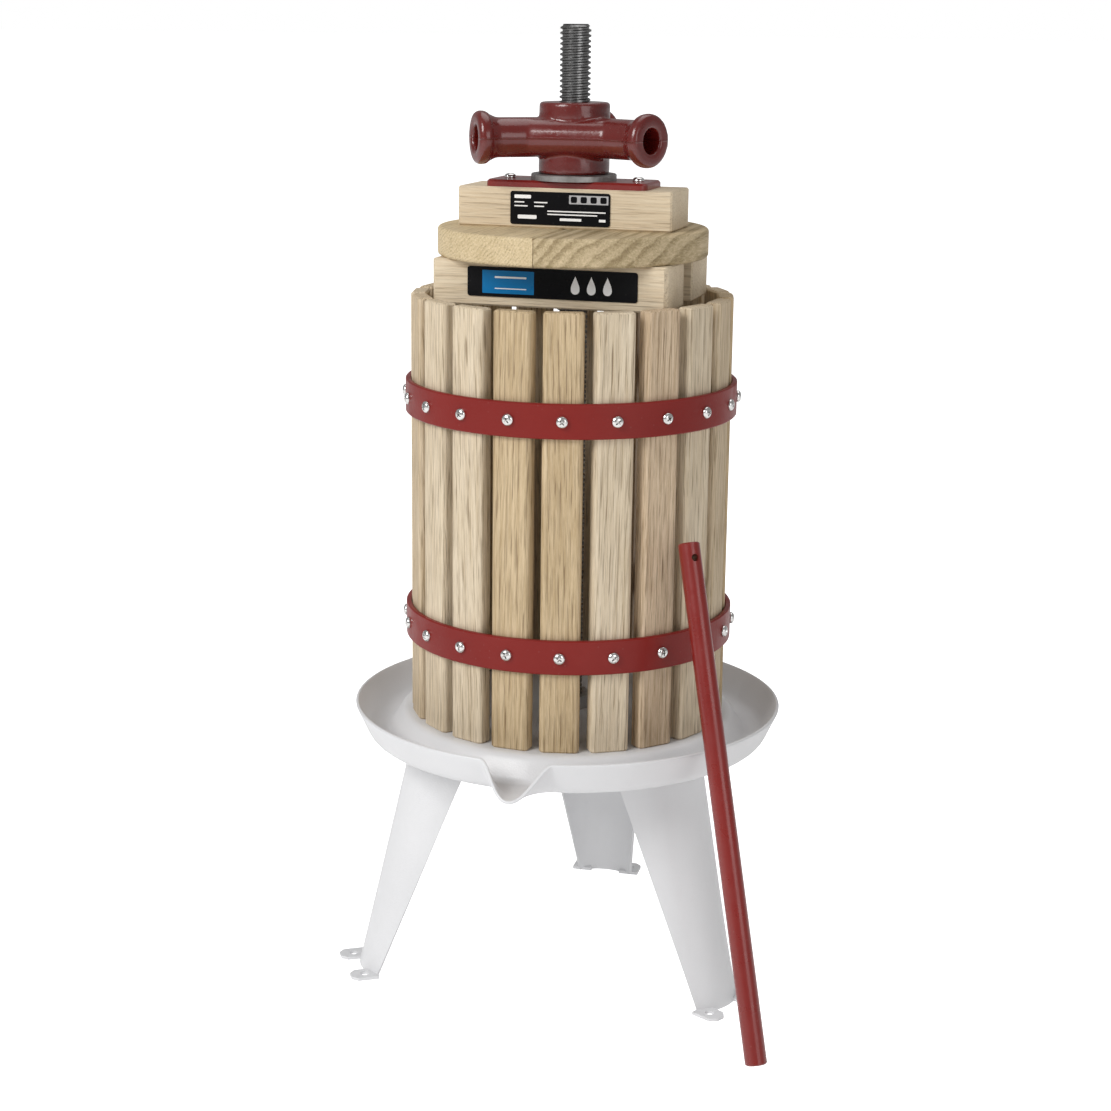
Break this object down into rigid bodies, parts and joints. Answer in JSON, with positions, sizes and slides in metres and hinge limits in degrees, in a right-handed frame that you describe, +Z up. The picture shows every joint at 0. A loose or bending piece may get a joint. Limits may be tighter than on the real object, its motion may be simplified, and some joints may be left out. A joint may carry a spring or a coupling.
{
  "type": "apple cider press",
  "caption": "Small spindle fruit press: slatted oak basket on a three-legged white steel stand, pressed by a hand-turned red cast nut.",
  "frame": {"origin": "on the floor, under the spindle's axis", "axes": "+Z up along the spindle; the pouring spout points along -Y; one leg stands towards +Y"},
  "size_m": [0.2817, 0.2938, 0.568],
  "materials": {
    "stave_oak": "sanded, unfinished oak",
    "block_oak": "sanded, unfinished oak",
    "disc_oak": "sanded, unfinished oak with end grain on the round edge",
    "hoop_paint": "semi-gloss dark red paint on steel strip",
    "plate_paint": "gloss dark red paint on steel plate",
    "nut_paint": "gloss dark red paint on a casting",
    "lever_paint": "semi-gloss red paint on steel bar",
    "pan_paint": "light grey-white powder coat",
    "leg_paint": "light grey-white powder coat",
    "spindle_steel": "rolled thread, dark oiled steel",
    "fastener_zinc": "zinc plated",
    "screw_zinc": "bright zinc plated, crossed recess",
    "washer_zinc": "grey zinc plated",
    "label_film": "printed film, plain shapes with no lettering"
  },
  "bodies": {
    "stand": {"pan": "pan_paint", "leg_back": "leg_paint", "leg_front_left": "leg_paint", "leg_front_right": "leg_paint", "spindle": "spindle_steel", "clamp_washer": "fastener_zinc", "clamp_nut_under": "fastener_zinc", "clamp_nut_top": "fastener_zinc"},
    "basket": {"stave_01": "stave_oak", "stave_02": "stave_oak", "stave_03": "stave_oak", "stave_04": "stave_oak", "stave_05": "stave_oak", "stave_06": "stave_oak", "stave_07": "stave_oak", "stave_08": "stave_oak", "stave_09": "stave_oak", "stave_10": "stave_oak", "stave_11": "stave_oak", "stave_12": "stave_oak", "stave_13": "stave_oak", "stave_14": "stave_oak", "stave_15": "stave_oak", "stave_16": "stave_oak", "stave_17": "stave_oak", "stave_18": "stave_oak", "stave_19": "stave_oak", "stave_20": "stave_oak", "hoop_lower": "hoop_paint", "hoop_upper": "hoop_paint", "screws_lower": "screw_zinc", "screws_upper": "screw_zinc"},
    "press_stack": {"cross_block_front": "block_oak", "cross_block_rear": "block_oak", "disc_left": "disc_oak", "disc_right": "disc_oak", "top_block": "block_oak", "pressure_plate": "plate_paint", "plate_screws": "screw_zinc", "thrust_washer": "washer_zinc", "label_front": "label_film", "label_top": "label_film"},
    "nut": {"nut": "nut_paint"},
    "lever": {"lever": "lever_paint"}
  },
  "joints": [
    {"name": "basket_lift", "type": "slide", "parent": "stand", "child": "basket", "axis": [0, 0, 1], "range_m": [0, 0.42]},
    {"name": "press_travel", "type": "slide", "parent": "stand", "child": "press_stack", "axis": [0, 0, 1], "range_m": [-0.2345, 0.0425]},
    {"name": "nut_turn", "type": "hinge", "parent": "press_stack", "child": "nut", "pos_m": [0, 0, 0.5041], "axis": [0, 0, 1], "range_deg": [-28080, 5040]},
    {"name": "lever_lift", "type": "slide", "parent": "stand", "child": "lever", "axis": [0, 0, 1], "range_m": [0, 0.3]}
  ],
  "couplings": [
    {"joint": "press_travel", "follows": "nut_turn", "m_per_rad": 0.00047746}
  ]
}
